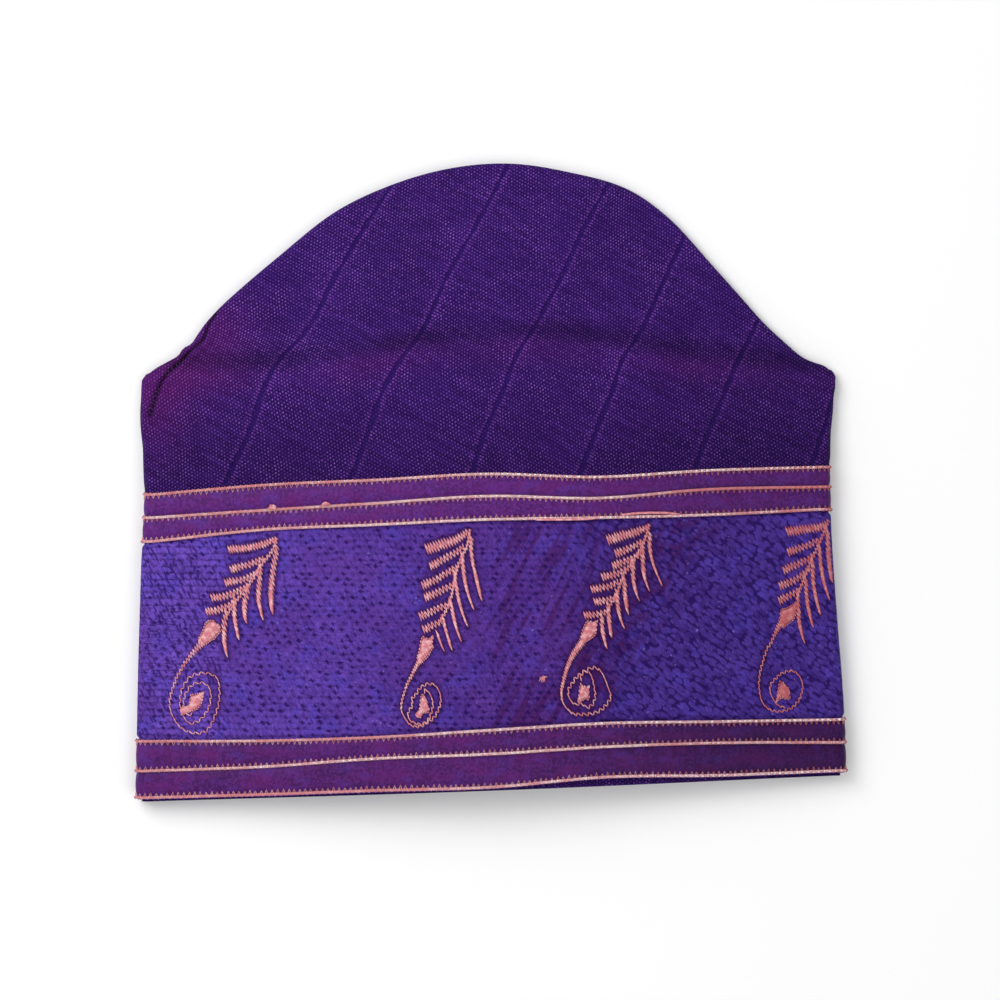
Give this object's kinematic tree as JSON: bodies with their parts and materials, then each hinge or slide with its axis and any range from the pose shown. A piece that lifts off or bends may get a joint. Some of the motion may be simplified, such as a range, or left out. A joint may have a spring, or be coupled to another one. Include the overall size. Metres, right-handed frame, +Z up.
{
  "type": "aso oke cap",
  "caption": "Soft woven cap lying flat, with a curved dome seam, an embroidered band, satin ribbons and couched braids round the band, and an open rim.",
  "frame": {"origin": "middle of the cap's outline as it lies, on the plane that it rests on", "axes": "+X along the rim to the right of the front, +Y from the rim towards the dome, +Z up out of the front"},
  "size_m": [0.2864, 0.2563, 0.0243],
  "materials": {
    "aso_oke_cloth": "woven, dark purple with fine bright violet threads",
    "embroidered_cloth": "dense blue-violet fill stitch",
    "satin_ribbon": "satin, dark plum",
    "copper_braid": "metallic copper and silver thread"
  },
  "bodies": {
    "root": {"crown": "aso_oke_cloth", "band": "embroidered_cloth", "upper_ribbon_1": "satin_ribbon", "upper_ribbon_2": "satin_ribbon", "lower_ribbon_1": "satin_ribbon", "lower_ribbon_2": "satin_ribbon", "braid_1": "copper_braid", "braid_2": "copper_braid", "braid_3": "copper_braid", "braid_4": "copper_braid", "braid_5": "copper_braid", "braid_6": "copper_braid"}
  },
  "joints": []
}
